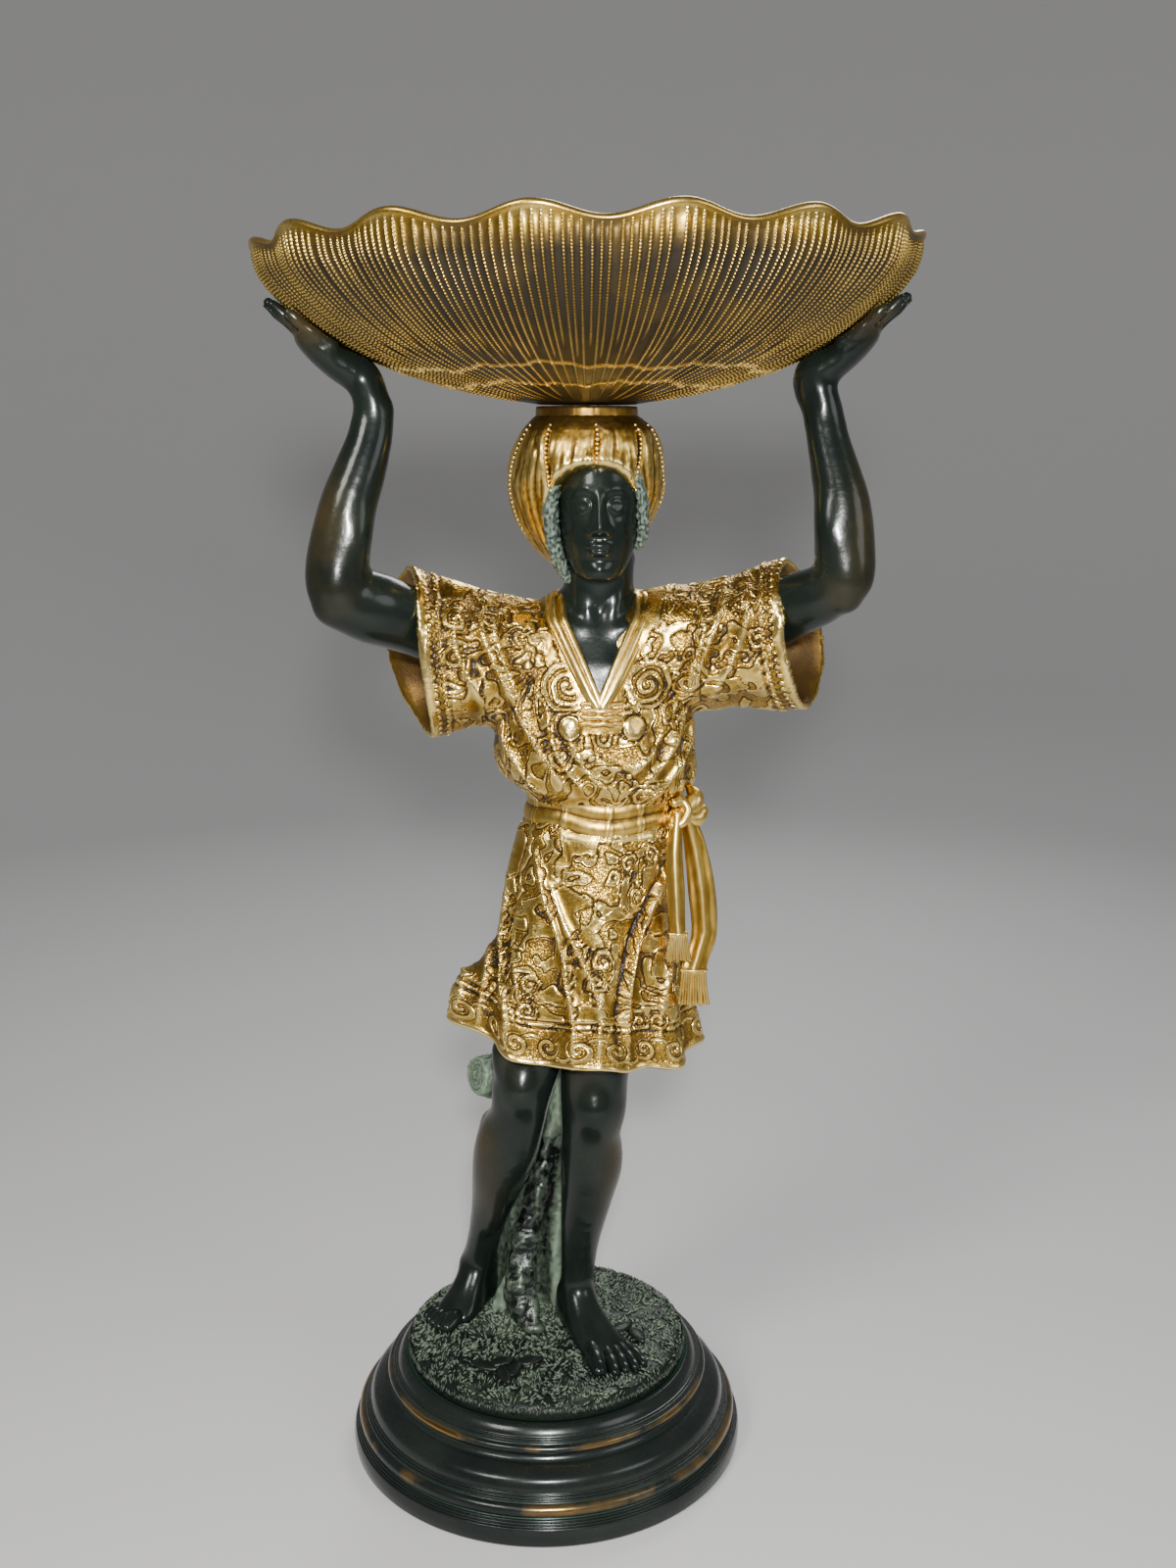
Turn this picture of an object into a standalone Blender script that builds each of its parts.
"""A cast figure on a grass mound that carries a scalloped shell dish on its turban and palms.

The dish, the figure and the turned plinth are three castings. Units are metres and +Z is up. The origin
is the middle of the plinth's underside, and -Y is the front.
"""

import math

import bpy
import numpy as np

# Driving dimensions
PLINTH_RADIUS = 0.156
PLINTH_HEIGHT = 0.073
MOUND_RADIUS = 0.110
MOUND_HEIGHT = 0.020
MOUND_LIP = 0.0035  # how far the plinth's top ring stands outside the mound
FIGURE_HEIGHT = 0.739  # underside of the mound to the turban's flat top
DISH_HALF_WIDTH = 0.2345
DISH_HALF_DEPTH = 0.190
DISH_HEIGHT = 0.111  # turban top to rim
DISH_SEAT_RADIUS = 0.035
DISH_WALL = 0.006
RIM_WAVE = 0.0045  # rise of the rim at the crest of each lobe
RIM_LEAN = 0.0035  # the dish's right side stands this much high, its left this much low
LOBES = 16
LOBE_SWELL = 0.0032  # how far a lobe stands out at the rim
LOBE_START = math.radians(-90 + 3 + 180 / LOBES)  # a trough lies just right of the front
JOINT_GAP = 0.0004  # between castings that touch

# Where the castings stand
MOUND_BASE = PLINTH_HEIGHT - 0.0015
FIGURE_BASE = MOUND_BASE + JOINT_GAP
DISH_BASE = FIGURE_BASE + FIGURE_HEIGHT + JOINT_GAP
DISH_CENTRE = (0.0327, -0.004)

# The figure's own form is given in parts, 739 to its height, from the mound's underside
FIGURE_PARTS = 739.0
PART = FIGURE_HEIGHT / FIGURE_PARTS

# Fineness of the meshes
LIMB_SIDES = 24
CLOTH_SIDES = 96
PLINTH_SIDES = 48
DISH_SIDES = LOBES * 4
VOXEL = 0.0021
FIGURE_TRIANGLES = 5780


def metres(points):
    """Figure parts to metres in the world."""
    placed = np.asarray(points, float) * PART
    placed[..., 2] += FIGURE_BASE
    return placed


def parts_of(point):
    """A world point in figure parts."""
    return (point[0] / PART, point[1] / PART, (point[2] - FIGURE_BASE) / PART)


def smooth_step(low, high, value):
    share = np.clip((np.asarray(value, float) - low) / (high - low), 0, 1)
    return share * share * (3 - 2 * share)


def bump(value, centre, width):
    return np.exp(-(((np.asarray(value, float) - centre) / width) ** 2))


def spline(stations, steps):
    """Rows of a Catmull-Rom curve through the stations, with this many steps between two of them."""
    known = np.asarray(stations, float)
    padded = np.vstack([2 * known[0] - known[1], known, 2 * known[-1] - known[-2]])
    rows = []
    for i in range(len(known) - 1):
        before, start, end, after = padded[i : i + 4]
        for t in np.arange(steps) / steps:
            rows.append(
                0.5
                * (
                    2 * start
                    + (end - before) * t
                    + (2 * before - 5 * start + 4 * end - after) * t**2
                    + (3 * start - before - 3 * end + after) * t**3
                )
            )
    rows.append(known[-1])
    return np.array(rows)


def skin(rings):
    """Vertices and faces of a closed surface through rings of equal length, with closed ends."""
    rings = np.asarray(rings, float)
    count, sides = rings.shape[:2]
    vertices = np.vstack([rings.reshape(-1, 3), rings[0].mean(0), rings[-1].mean(0)])
    first, last = count * sides, count * sides + 1
    faces = []
    for k in range(sides):
        after = (k + 1) % sides
        faces.append((first, after, k))
        faces.append((last, (count - 1) * sides + k, (count - 1) * sides + after))
        for i in range(count - 1):
            low, high = i * sides, (i + 1) * sides
            faces.append((low + k, low + after, high + after, high + k))
    return vertices, faces


def facing_out(vertices, faces):
    """The same faces, turned round if the surface is inside out."""
    volume = 0.0
    for face in faces:
        a = vertices[face[0]]
        for i in range(1, len(face) - 1):
            volume += np.dot(a, np.cross(vertices[face[i]], vertices[face[i + 1]]))
    return faces if volume > 0 else [tuple(reversed(face)) for face in faces]


def add_object(name, shells):
    """One object that holds these closed surfaces, in world metres."""
    vertices, faces = [], []
    for shell_vertices, shell_faces in shells:
        offset = len(vertices)
        vertices.extend(map(tuple, shell_vertices))
        faces.extend(tuple(i + offset for i in f) for f in facing_out(shell_vertices, shell_faces))
    mesh = bpy.data.meshes.new(name)
    mesh.from_pydata(vertices, [], faces)
    mesh.validate()
    made = bpy.data.objects.new(name, mesh)
    bpy.context.scene.collection.objects.link(made)
    return made


def finish(made, colour, roughness, metallic):
    material = bpy.data.materials.new(made.name)
    material.use_nodes = True
    shader = material.node_tree.nodes["Principled BSDF"]
    shader.inputs["Base Color"].default_value = (*colour, 1)
    shader.inputs["Roughness"].default_value = roughness
    shader.inputs["Metallic"].default_value = metallic
    made.data.materials.append(material)
    made.data.shade_smooth()
    made.data.set_sharp_from_angle(angle=math.radians(40))


def clear_scene():
    for old in list(bpy.data.objects):
        bpy.data.objects.remove(old)


# Limbs and other round forms


def tube(stations, steps=4, facing=(0, 1, 0), sides=LIMB_SIDES, square=2.0):
    """A closed tube with round ends through stations of x, y, z, half width and half depth.

    The depth is measured along facing, and a square above 2 flattens the sides of the section.
    """
    rows = spline(stations, steps)
    middles, widths, depths = rows[:, :3], rows[:, 3], rows[:, 4]
    along = np.gradient(middles, axis=0)
    along /= np.linalg.norm(along, axis=1)[:, None]
    deep = np.asarray(facing, float) - along * (along @ np.asarray(facing, float))[:, None]
    deep /= np.linalg.norm(deep, axis=1)[:, None]
    wide = np.cross(deep, along)
    turn = np.linspace(0, 2 * math.pi, sides, endpoint=False)
    across = np.sign(np.cos(turn)) * np.abs(np.cos(turn)) ** (2 / square)
    up = np.sign(np.sin(turn)) * np.abs(np.sin(turn)) ** (2 / square)

    def ring(i, share, shift):
        middle = middles[i] + along[i] * shift
        return middle + share * (
            widths[i] * across[:, None] * wide[i] + depths[i] * up[:, None] * deep[i]
        )

    bend = [(math.sin(a), math.cos(a)) for a in np.radians([25, 50, 72])]
    size = [min(widths[i], depths[i]) for i in (0, -1)]
    rings = [ring(0, share, -size[0] * cap) for share, cap in bend]
    rings += [ring(i, 1, 0) for i in range(len(rows))]
    rings += [ring(-1, share, size[1] * cap) for share, cap in reversed(bend)]
    return rings


def limb(stations, **options):
    return skin(metres(tube(stations, **options)))


# The dish


def dish_profile():
    """Outer profile from the seat to the rim, as shares of the half width and of the height."""
    return spline(
        [
            (0.150, 0.000),
            (0.365, 0.085),
            (0.585, 0.222),
            (0.755, 0.385),
            (0.885, 0.585),
            (0.962, 0.790),
            (1.000, 1.000),
        ],
        4,
    )


def dish_point(angle, share, out=0.0):
    """A point this far out from the dish's outer face. Share runs from 0 at the seat to 1 at the rim."""
    profile = dish_profile()
    place = np.linspace(0, 1, len(profile))

    def radius_at(where):
        return np.interp(where, place, profile[:, 0])

    def height_at(where):
        return np.interp(where, place, profile[:, 1])

    radius, height = radius_at(share), height_at(share)
    step = 0.01
    rise = (height_at(share + step) - height_at(share - step)) * DISH_HEIGHT
    run = (radius_at(share + step) - radius_at(share - step)) * DISH_HALF_WIDTH
    length = np.hypot(rise, run)
    lobe = np.cos(LOBES * (angle - LOBE_START)) * smooth_step(0.25, 1.0, share)
    seat = DISH_SEAT_RADIUS
    grow = (radius - profile[0, 0]) / (1 - profile[0, 0])
    wide = seat + grow * (DISH_HALF_WIDTH - seat) + lobe * LOBE_SWELL
    deep = seat + grow * (DISH_HALF_DEPTH - seat) + lobe * LOBE_SWELL
    lean = RIM_LEAN * np.cos(angle) * share**2
    return np.array(
        [
            DISH_CENTRE[0] + (wide + out * rise / length) * np.cos(angle),
            DISH_CENTRE[1] + (deep + out * rise / length) * np.sin(angle),
            DISH_BASE
            + height * DISH_HEIGHT
            + RIM_WAVE * lobe * smooth_step(0.8, 1.0, share)
            + lean
            - out * run / length,
        ]
    )


def dish_rings(out, shares, sides):
    turn = LOBE_START + np.linspace(0, 2 * math.pi, sides, endpoint=False)
    return [np.array([dish_point(a, s, out) for a in turn]) for s in shares]


# Rows of the dish from the seat to the rim and back down to the floor, as shares of its profile
OUTER_ROWS = [0, 0.17, 0.33, 0.5, 0.66, 0.8, 0.91, 1.0]
INNER_ROWS = [0.97, 0.8, 0.55, 0.33, 0.15]
FLOOR_SHARE = 0.8  # the flat floor's size in the lowest inner row


def build_dish():
    """A bowl open above: outer face, rim and inner face, with a flat floor inside."""
    outer = dish_rings(0.0, OUTER_ROWS, DISH_SIDES)
    inner = dish_rings(-DISH_WALL, INNER_ROWS, DISH_SIDES)
    floor = inner[-1].copy()
    floor[:, :2] = np.array(DISH_CENTRE) + (floor[:, :2] - np.array(DISH_CENTRE)) * FLOOR_SHARE
    floor[:, 2] = DISH_BASE + DISH_WALL
    made = add_object("shell_dish", [skin(outer + inner + [floor])])
    finish(made, (0.45, 0.29, 0.08), 0.35, 1.0)


def dish_envelope():
    """The space the dish takes, a gap larger, which is kept clear of the palms and the turban."""
    shares = [0, 0.1, 0.2, 0.33, 0.42, 0.5, 0.58, 0.66, 0.74, 0.8, 0.86, 0.91, 0.96, 1.0]
    rings = dish_rings(2 * JOINT_GAP, shares, DISH_SIDES)
    seat = rings[0].copy()
    seat[:, 2] = DISH_BASE - JOINT_GAP
    rings[0] = seat
    above = rings[-1].copy()
    above[:, 2] += 0.02
    made = add_object("dish_envelope", [skin(rings + [above])])
    made.hide_render = True
    made.display_type = "WIRE"
    return made


# The plinth


def build_plinth():
    """A turned socle: drum, three beads, torus, ogee, upper torus and a ring round the mound."""
    well = MOUND_RADIUS + MOUND_LIP - 0.002
    ring = MOUND_RADIUS + MOUND_LIP
    foot = PLINTH_RADIUS
    high = PLINTH_HEIGHT
    step = foot - ring
    profile = [
        (foot - 0.003, 0.0),
        (foot, 0.003),
        (foot, high * 0.19),
        (foot - step * 0.07, high * 0.235),
        (foot - step * 0.13, high * 0.26),
        (foot - step * 0.11, high * 0.30),
        (foot - step * 0.12, high * 0.38),
        (foot - step * 0.20, high * 0.45),
        (foot - step * 0.30, high * 0.48),
        (foot - step * 0.32, high * 0.53),
        (foot - step * 0.40, high * 0.61),
        (foot - step * 0.56, high * 0.67),
        (foot - step * 0.70, high * 0.72),
        (foot - step * 0.72, high * 0.77),
        (foot - step * 0.66, high * 0.81),
        (foot - step * 0.70, high * 0.87),
        (foot - step * 0.84, high * 0.91),
        (foot - step * 0.92, high * 0.97),
        (ring, high),
        (well, MOUND_BASE),
    ]
    turn = np.linspace(0, 2 * math.pi, PLINTH_SIDES, endpoint=False)
    circle = np.stack([np.cos(turn), np.sin(turn), 0 * turn], axis=1)
    rings = [circle * radius + np.array([0, 0, height]) for radius, height in profile]
    made = add_object("plinth", [skin(rings)])
    finish(made, (0.02, 0.03, 0.025), 0.35, 0.6)


# The figure's bare parts. Stations are x, y, z, half width and half depth in figure parts.

LEFT, RIGHT = -1, 1  # as the viewer sees them

UPPER_ARMS = {
    LEFT: [
        (10, 0, 566, 27, 27),
        (-40, -1, 576, 27, 27),
        (-75, -8, 586, 27, 27),
        (-100, -19, 594, 27, 25),
        (-122, -33, 599, 26, 23),
        (-138, -43, 604, 22, 20),
    ],
    RIGHT: [
        (80, 0, 572, 26, 26),
        (120, -1, 580, 26, 26),
        (150, -8, 590, 26, 26),
        (178, -19, 600, 25, 24),
        (198, -34, 607, 21, 21),
        (210, -43, 614, 18, 18),
    ],
}

FOREARMS = {
    LEFT: [
        (-145, -49, 601, 16, 15),
        (-144, -49, 614, 21, 19),
        (-142, -46, 634, 22, 20),
        (-135, -43, 668, 20, 19),
        (-127, -40, 691, 18.5, 17),
        (-119, -37, 715, 16, 13.5),
        (-115, -33, 738, 14.5, 11.5),
    ],
    RIGHT: [
        (214, -49, 608, 13, 13),
        (215, -49, 618, 19, 18),
        (214, -46, 634, 21.3, 20),
        (212, -43, 668, 19.6, 19),
        (207, -40, 691, 17.5, 16.5),
        (201, -37, 715, 15, 13),
        (196.5, -33, 738, 14.3, 11.5),
    ],
}

LEGS = {
    LEFT: [
        (4, -2, 340, 34, 34),
        (-6, -12, 290, 28, 29),
        (-14, -19, 252, 24, 25),
        (-18, -22, 230, 22.5, 24),
        (-22, -18, 206, 22, 23),
        (-30, -7, 178, 24.5, 26),
        (-36, 3, 152, 22.5, 25),
        (-43, 16, 118, 17, 19),
        (-51, 30, 80, 13.5, 15),
        (-57, 40, 48, 14, 16),
    ],
    RIGHT: [
        (46, 0, 340, 35, 34),
        (43, -12, 290, 29, 29),
        (40.5, -20, 240, 24.2, 25),
        (40, -22, 214, 23.5, 24),
        (38.5, -14, 186, 23.8, 26),
        (36.5, -8, 160, 23.2, 26),
        (32, -4, 130, 20, 22),
        (27.5, -1, 94, 15.5, 17),
        (25, 1, 62, 13.3, 15),
        (24, 4, 42, 13.8, 16),
    ],
}

FEET = {
    LEFT: [
        (-44, 64, 27, 12, 13),
        (-50, 53, 28, 14, 17),
        (-58, 37, 30, 15, 16),
        (-67, 20, 26, 17, 12),
        (-74, 9, 22, 18, 8.5),
        (-77, 4, 20, 17, 6.5),
    ],
    RIGHT: [
        (18, 22, 25, 12, 13),
        (21, 10, 27, 14, 17),
        (26, -5, 29, 15.5, 17),
        (35, -24, 26, 17.5, 13),
        (44, -40, 21, 19, 9),
        (48, -47, 19, 18, 7),
    ],
}

# Each toe: root and tip in plan, height of its middle and radius. The big toe is first.
TOES = {
    LEFT: [
        ((-69, 6), (-80, -11), 20, 7.2),
        ((-77, 5), (-87, -8), 19.5, 4.6),
        ((-83, 9), (-92, -2), 19, 4.4),
        ((-87, 13), (-95.5, 4), 18.5, 4.2),
        ((-90, 18), (-98, 10), 18, 4.0),
    ],
    RIGHT: [
        ((36, -46), (42, -72), 19.5, 7.6),
        ((48, -49), (54.5, -72), 18.5, 4.9),
        ((55, -47), (62.5, -68), 18, 4.6),
        ((60, -43), (70, -63), 17.5, 4.4),
        ((64, -38), (76.5, -57), 17, 4.2),
    ],
}

NECK = [(42, 0, 560, 25, 24), (41, 0, 584, 22, 21), (41, -3, 606, 21, 21), (42, -7, 630, 22, 25)]


HEAD_X = 41.5


def head_rings():
    """Skull and jaw as flat rings: height, middle y, half width and half depth."""
    rows = spline(
        [
            (618, -34, 9, 9),
            (623, -29, 16, 15),
            (632, -22, 22, 23),
            (645, -16, 27, 31),
            (660, -12, 30, 36),
            (676, -9, 31.5, 39.5),
            (690, -7, 31, 40),
            (704, -5, 27, 36),
            (713, -4, 18, 25),
        ],
        3,
    )
    turn = np.linspace(0, 2 * math.pi, 40, endpoint=False)
    return [
        np.stack([HEAD_X + w * np.cos(turn), y + d * np.sin(turn), np.full(turn.shape, z)], axis=1)
        for z, y, w, d in rows
    ]


# The face follows the classic canon: the nose ends midway from the brow to the chin
NOSE = [
    (HEAD_X, -49, 674, 3.5, 4),
    (HEAD_X, -53, 664, 4.5, 5.5),
    (HEAD_X, -55.5, 655, 6.5, 6),
    (HEAD_X, -52, 651, 7, 5),
]
LIPS = [
    (HEAD_X - 9, -46.5, 640.5, 2.6, 2.5),
    (HEAD_X, -50.5, 641, 4.8, 4),
    (HEAD_X + 9, -46.5, 640.5, 2.6, 2.5),
]
BROWS = [
    (HEAD_X - 19, -41, 680, 3, 3),
    (HEAD_X, -47, 679, 3.2, 3.6),
    (HEAD_X + 19, -41, 680, 3, 3),
]
CHIN = [(HEAD_X, -40, 634, 9, 7), (HEAD_X, -42, 626, 9, 7.5)]


def turban_rings():
    """A gathered cap whose pleats run from the flat top down behind the ears."""
    seat = parts_of((DISH_CENTRE[0], DISH_CENTRE[1], 0))
    rows = spline(
        [
            (739, seat[0], seat[1], 36, 35),
            (734, seat[0], seat[1], 40, 39),
            (722, 34, -1, 48, 46),
            (708, 33, 1, 54, 52.5),
            (693, 32, 4, 56.5, 53.5),
            (678, 32, 9, 56.5, 49),
            (662, 33, 15, 53, 44),
            (647, 34, 19, 45, 38),
            (633, 36, 21, 35, 29),
            (622, 37, 21, 20, 17),
        ],
        4,
    )
    turn = np.linspace(0, 2 * math.pi, CLOTH_SIDES, endpoint=False)
    rings = []
    for z, x, y, w, d in rows:
        pleat = 1 + 0.022 * np.abs(np.sin(12 * turn)) * smooth_step(739, 715, z) * smooth_step(622, 650, z)
        rings.append(
            np.stack(
                [x + w * pleat * np.cos(turn), y + d * pleat * np.sin(turn), np.full(turn.shape, z)],
                axis=1,
            )
        )
    return rings


# The tunic

NECKLINE_X = 42
NECKLINE_LOW = 534
NECKLINE_HIGH = 600
NECKLINE_HALF = 29


def cloth_ring(z, x, y, w, d, square=2.2):
    turn = np.linspace(0, 2 * math.pi, CLOTH_SIDES, endpoint=False)
    across = np.sign(np.cos(turn)) * np.abs(np.cos(turn)) ** (2 / square)
    deep = np.sign(np.sin(turn)) * np.abs(np.sin(turn)) ** (2 / square)
    return np.stack([x + w * across, y + d * deep, np.full(turn.shape, float(z))], axis=1), turn


def bodice_rings():
    rows = spline(
        [
            (448, 47, 2, 54, 41),
            (459, 46, 1, 60, 46),
            (466, 44, 0, 67, 49),
            (476, 40.5, 0, 72, 51),
            (490, 38, 0, 74, 52),
            (506, 38, 0, 73, 51),
            (530, 37, 1, 71, 49),
            (555, 36, 2, 66, 44),
            (578, 37, 3, 60, 37),
            (596, 39, 4, 48, 29),
            (608, 40, 4, 31, 23),
        ],
        4,
    )
    rings = []
    for z, x, y, w, d in rows:
        ring, turn = cloth_ring(z, x, y, w, d)
        share = np.clip((z - NECKLINE_LOW) / (NECKLINE_HIGH - NECKLINE_LOW), 0, 1.2)
        edge = np.abs(ring[:, 0] - NECKLINE_X) - NECKLINE_HALF * share
        front = smooth_step(-0.1, -0.5, np.sin(turn)) * (z > NECKLINE_LOW - 6)
        ring[:, 1] += front * (9 * smooth_step(1, -2, edge) * (share > 0) - 4 * bump(edge, 5, 4))
        blouse = smooth_step(540, 500, z) * smooth_step(450, 462, z)
        ring[:, :2] *= 1 + 0.02 * np.sin(13 * turn + 0.06 * z)[:, None] * blouse
        rings.append(ring)
    return rings


def sleeve_rings(side):
    """A wide sleeve open at its end: out along its face, round the hem and back inside to the arm.

    Stations are x, y, z, half height and half depth, then how far the ring turns to the front in degrees,
    how far its top leans out and how far its front and back stand out.
    """
    stations = {
        LEFT: [
            (30, 2, 558, 40, 36, 0, 0, 0),
            (0, 2, 554, 46, 38, 0, 0, 0),
            (-25, 1, 554, 49, 39, 3, 0, 0),
            (-50, 0, 559, 50, 40, 9, 1, 1),
            (-74, -1, 560, 55.5, 43, 16, 3, 3),
            (-97, 0, 562.5, 62.5, 48, 22, 6, 6),
        ],
        RIGHT: [
            (50, 2, 560, 40, 36, 0, 0, 0),
            (85, 2, 564, 46, 38, 0, 0, 0),
            (115, 1, 566, 46.5, 39, 4, 0, 0),
            (145, 0, 571, 47.5, 40, 12, -2, 0),
            (170, -1, 574, 52, 43, 20, -6, 1),
            (190, 0, 576, 54, 47, 25, -10, 2),
        ],
    }[side]
    rows = spline(stations, 5)
    turn = np.linspace(0, 2 * math.pi, CLOTH_SIDES, endpoint=False)
    rings = []
    for i, row in enumerate(rows):
        reach = i / (len(rows) - 1)
        fold = 3.2 * reach * np.sin(6 * turn + 1.2 + 0.5 * reach) * smooth_step(1.04, 0.8, reach)
        rings.append(sleeve_ring(side, row, turn, fold))
    for back, wall in [(0, 2.5), (1, 4.5), (3, 5.5), (6, 6.5), (9, 12)]:
        rings.append(sleeve_ring(side, rows[-1 - back], turn, -wall))
    return rings


def sleeve_ring(side, row, turn, grow):
    x, y, z, high, deep, yaw, lean, stand = row
    over, back = np.cos(turn), np.sin(turn)
    turned = math.radians(yaw)
    out = (deep + grow) * back * math.sin(turned) + lean * over - stand * np.cos(2 * turn)
    return np.stack(
        [x + side * out, y + (deep + grow) * back * math.cos(turned), z + (high + grow) * over], axis=1
    )


def skirt_rings():
    """From the sash to the hem, with folds that deepen downwards and a flap that swings out to the left."""
    rows = spline(
        [
            (462, 47, 2, 52, 38),
            (440, 45, 2, 58, 44),
            (428, 42, 2, 61, 47),
            (408, 39, 2, 62, 50),
            (378, 37, 2, 65, 55),
            (340, 35, 3, 70, 62),
            (308, 34, 4, 77, 68),
            (284, 34, 5, 80, 72),
            (264, 36, 5, 82, 75),
        ],
        4,
    )
    top, hem = rows[0, 0], rows[-1, 0]
    rings = []
    for z, x, y, w, d in rows:
        fall = (top - z) / (top - hem)
        ring, turn = cloth_ring(z, x, y, w, d)
        flap = 24 * bump(turn, math.radians(186), 0.42) * smooth_step(350, 286, z)
        fold = 5.5 * fall**1.2 * np.cos(9 * turn + 0.9 * np.sin(2 * turn) + 1.1)
        out = flap + fold
        ring[:, 0] += out * np.cos(turn)
        ring[:, 1] += out * np.sin(turn)
        hem_wave = 5 * np.cos(turn - math.radians(165)) + 3 * np.cos(5 * turn + 0.6)
        ring[:, 2] += hem_wave * smooth_step(0.6, 1.0, fall)
        rings.append(ring)
    edge = rings[-1]
    middle = edge.mean(0)
    for inward, lift in [(0.97, 1.0), (0.94, 3.5), (0.9, 14), (0.8, 20)]:
        inner = middle + (edge - middle) * inward
        inner[:, 2] = edge[:, 2] + lift
        rings.append(inner)
    return rings


def sash_rings():
    """Three wraps of a plain cloth round the waist."""
    turn = np.linspace(0, 2 * math.pi, CLOTH_SIDES, endpoint=False)
    rings = []
    for share in np.linspace(0, 1, 13):
        z = 460 - 31 * share
        wrap = 2.2 * abs(math.sin(3 * math.pi * share)) - 1.5 * (share in (0, 1))
        w, d = 58 + 3 * share + wrap, 44.5 + 3 * share + wrap
        x = 47 - 3 * share
        rings.append(np.stack([x + w * np.cos(turn), 2 + d * np.sin(turn), np.full(turn.shape, z)], axis=1))
    return rings


BOW = [
    [(98, -26, 444, 6, 6), (108, -22, 449, 8, 8), (113, -18, 456, 7, 8), (110, -14, 462, 4, 5)],
    [(100, -26, 446, 6, 6), (112, -24, 442, 7, 7), (117, -20, 446, 6, 7)],
]
SASH_ENDS = [
    [
        (99, -30, 446, 5, 5),
        (97, -38, 420, 6, 3.5),
        (98, -45, 380, 7, 3.5),
        (101, -50, 345, 7.5, 3.5),
        (103, -53, 330, 9, 5),
        (104, -55, 315, 11, 5.5),
    ],
    [
        (107, -26, 444, 6, 5),
        (113, -28, 415, 7, 4),
        (120, -32, 370, 8, 4),
        (121, -36, 335, 7.5, 4),
        (117, -39, 315, 7, 4),
        (117, -41, 300, 9.5, 5.5),
        (118, -42, 290, 10.5, 5.5),
    ],
]

# The tree stump behind the legs, with a sawn branch and a root
TRUNK = [
    (-14, 46, 10, 36, 28),
    (-14, 46, 45, 28, 22),
    (-15, 47, 100, 24, 20),
    (-18, 46, 165, 20, 18),
    (-24, 42, 215, 18, 17),
    (-22, 36, 290, 17, 16),
]
BRANCH = [
    (-18, 40, 200, 15, 15),
    (-34, 34, 212, 17, 17),
    (-50, 25, 220, 19, 17),
    (-51.5, 24, 220.5, 18, 16),
]
ROOT = [
    (-10, 34, 130, 9, 9),
    (-9, 26, 80, 11, 11),
    (-8, 14, 46, 12, 12),
    (-7, -4, 26, 11, 9),
    (-7, -17, 19, 8, 6),
]


def mound_rings():
    """The grass mound. Its underside reaches below the cut that makes it flat."""
    radius = MOUND_RADIUS / PART
    high = MOUND_HEIGHT / PART
    rows = [(-6, 1.0), (2, 1.0), (8, 1.01), (12, 0.985), (15, 0.92), (17, 0.75)]
    rows += [(high - 1, 0.45), (high, 0.15)]
    turn = np.linspace(0, 2 * math.pi, CLOTH_SIDES, endpoint=False)
    rings = []
    for z, share in rows:
        lump = 1 + 0.012 * np.sin(5 * turn) * (z > 2)
        r = radius * share * lump
        rings.append(np.stack([r * np.cos(turn), r * np.sin(turn), np.full(turn.shape, float(z))], axis=1))
    return rings


# Hands that lie along the dish. Angles are measured round the dish, in degrees.

HAND_ANGLE = {LEFT: 190.0, RIGHT: 350.0}
FINGERS = [  # angle from the middle of the hand, towards the front; share of the dish at the tip; radius
    (8.6, 0.67, 4.6),
    (3.0, 0.72, 5.2),
    (-2.6, 0.74, 5.4),
    (-8.2, 0.72, 5.2),
]
FINGER_ROOT = 0.56
THUMB = (-24.0, 0.60, 5.6)


def on_dish(side, turn, share, out):
    """A point on the dish's outer face in figure parts. A turn above 0 goes towards the front."""
    angle = math.radians(HAND_ANGLE[side] - side * turn)
    return parts_of(dish_point(angle, share, out * PART))


def hand_shells(side):
    wrist = FOREARMS[side][-1][:3]
    facing = np.subtract(on_dish(side, 0, 0.5, 10), on_dish(side, 0, 0.5, 0))
    palm = [(*wrist, 14, 11)]
    palm += [
        (*on_dish(side, 0.5, share, thick), wide, thick)
        for share, wide, thick in [(0.40, 16, 13), (0.46, 19, 11.5), (0.53, 21.5, 9.5), (0.585, 21.5, 7.5)]
    ]
    shells = [limb(palm, facing=facing, square=2.5)]
    for turn, tip, radius in FINGERS:
        first = FINGER_ROOT - 0.05
        stations = [
            (*on_dish(side, turn * (0.8 + 0.2 * t), first + (tip - first) * t, r), r, r)
            for t, r in [(0, radius), (0.35, radius), (0.7, radius * 0.94), (1.0, radius * 0.8)]
        ]
        shells.append(limb(stations, facing=facing, sides=16))
    turn, tip, radius = THUMB
    stations = [
        (*on_dish(side, turn * t, 0.42 + (tip - 0.42) * t, r), r, r)
        for t, r in [(0.15, radius * 1.5), (0.5, radius * 1.2), (0.8, radius), (1.0, radius * 0.8)]
    ]
    shells.append(limb(stations, facing=facing, sides=16))
    return shells


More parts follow.
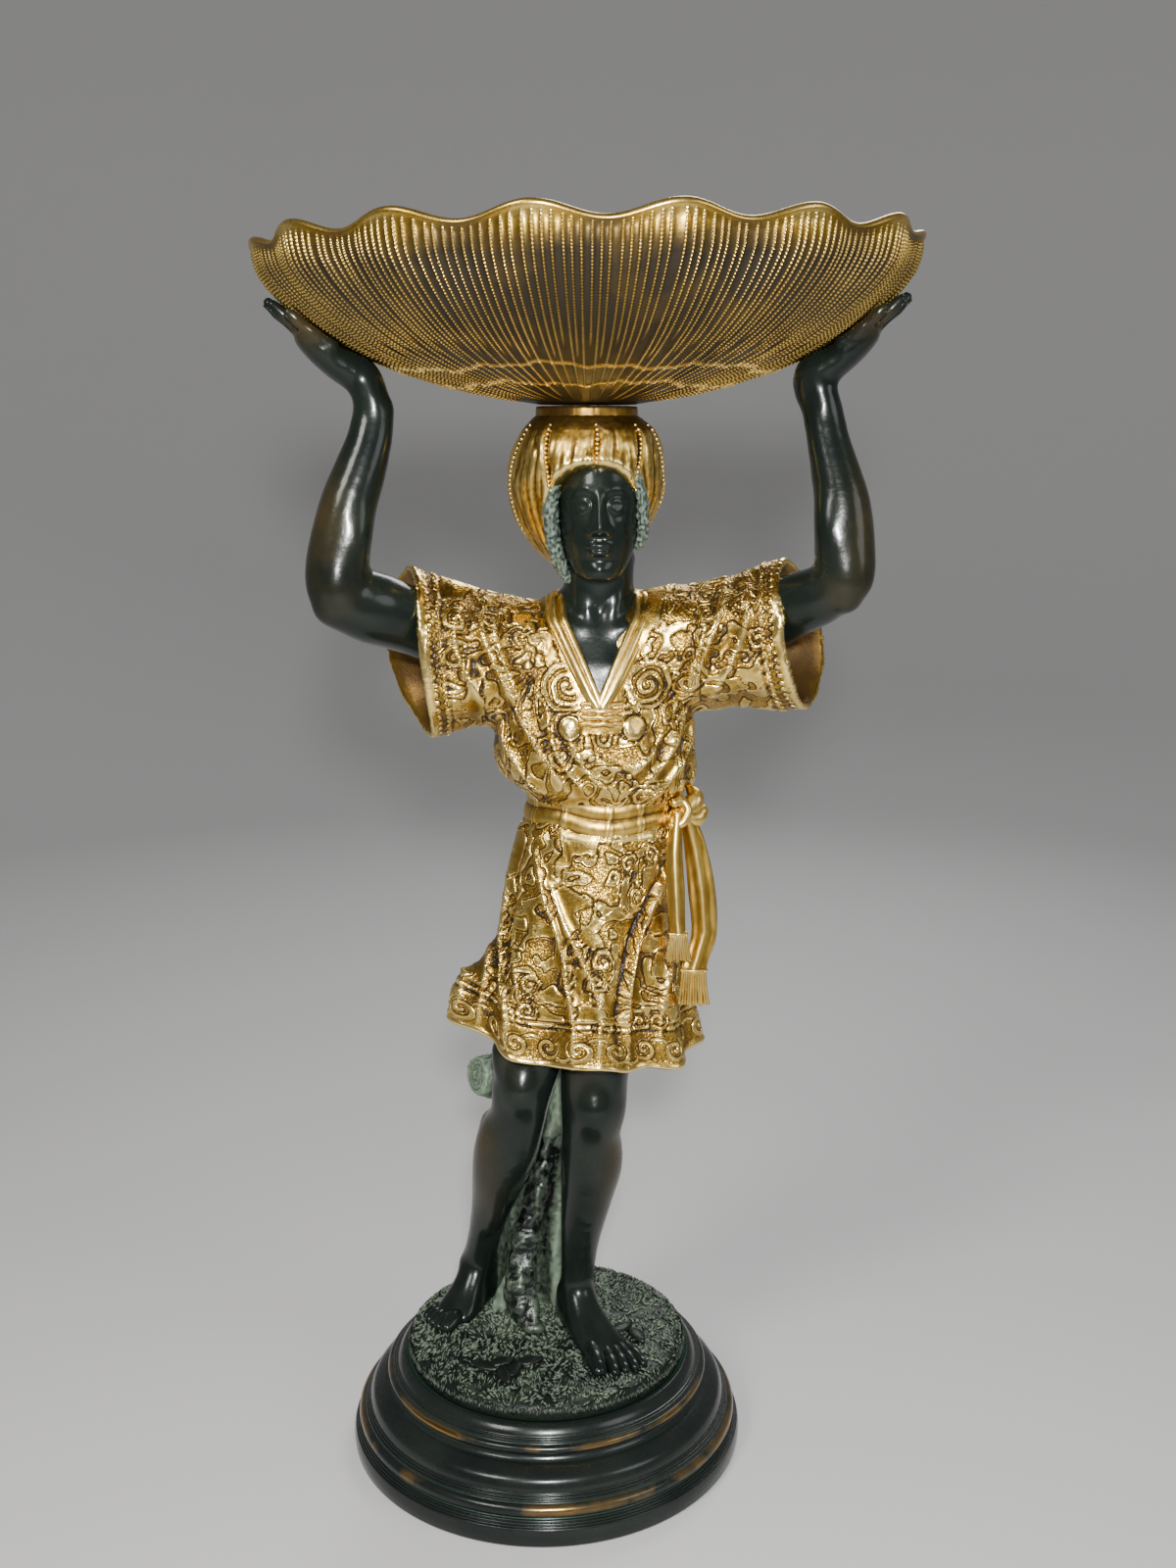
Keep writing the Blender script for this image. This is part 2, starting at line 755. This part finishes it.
def foot_shells(side):
    shells = [limb(FEET[side], facing=(0, 0, 1), square=2.3)]
    for root, tip, height, radius in TOES[side]:
        stations = [
            (*root, height + 2.5, radius, radius * 0.9),
            ((root[0] + tip[0]) / 2, (root[1] + tip[1]) / 2, height + 1, radius * 0.95, radius * 0.85),
            (*tip, height, radius, radius * 0.75),
        ]
        shells.append(limb(stations, facing=(0, 0, 1), sides=16))
    return shells


def figure_shells():
    shells = [skin(metres(rings)) for rings in (head_rings(), turban_rings(), bodice_rings(), skirt_rings())]
    shells += [skin(metres(sash_rings())), skin(metres(mound_rings()))]
    shells += [limb(NECK)] + [limb(s, sides=16) for s in (NOSE, CHIN)]
    shells += [limb(s, sides=12, facing=(0, 1, 0)) for s in (LIPS, BROWS)]
    shells += [limb(s, sides=12) for s in BOW + SASH_ENDS]
    shells += [limb(TRUNK), limb(BRANCH, facing=(0, 0, 1)), limb(ROOT, sides=16)]
    for side in (LEFT, RIGHT):
        shells += [limb(s[side]) for s in (UPPER_ARMS, FOREARMS, LEGS)]
        shells += [skin(metres(sleeve_rings(side)))]
        shells += foot_shells(side) + hand_shells(side)
    return shells


def base_cutter():
    """Everything below the mound's flat underside."""
    reach, depth = 2 * MOUND_RADIUS, 0.05
    corners = np.array([(-reach, -reach), (reach, -reach), (reach, reach), (-reach, reach)])
    rings = [np.column_stack([corners, np.full(4, z)]) for z in (FIGURE_BASE - depth, FIGURE_BASE)]
    made = add_object("base_cutter", [skin(rings)])
    made.hide_render = True
    made.display_type = "WIRE"
    return made


def build_figure():
    """All the forms fused as one casting, then thinned and cut to meet the dish and the plinth."""
    made = add_object("figure", figure_shells())
    fuse = made.modifiers.new("fuse", "REMESH")
    fuse.mode = "VOXEL"
    fuse.voxel_size = VOXEL
    soften = made.modifiers.new("soften", "SMOOTH")
    soften.factor = 0.5
    soften.iterations = 2
    graph = bpy.context.evaluated_depsgraph_get()
    dense = 2 * len(made.evaluated_get(graph).data.polygons)
    thin = made.modifiers.new("thin", "DECIMATE")
    thin.ratio = FIGURE_TRIANGLES / dense
    for name, cutter in (("dish", dish_envelope()), ("base", base_cutter())):
        cut = made.modifiers.new(name, "BOOLEAN")
        cut.operation = "DIFFERENCE"
        cut.object = cutter
    finish(made, (0.30, 0.20, 0.06), 0.4, 0.9)


def main():
    clear_scene()
    build_plinth()
    build_figure()
    build_dish()


main()
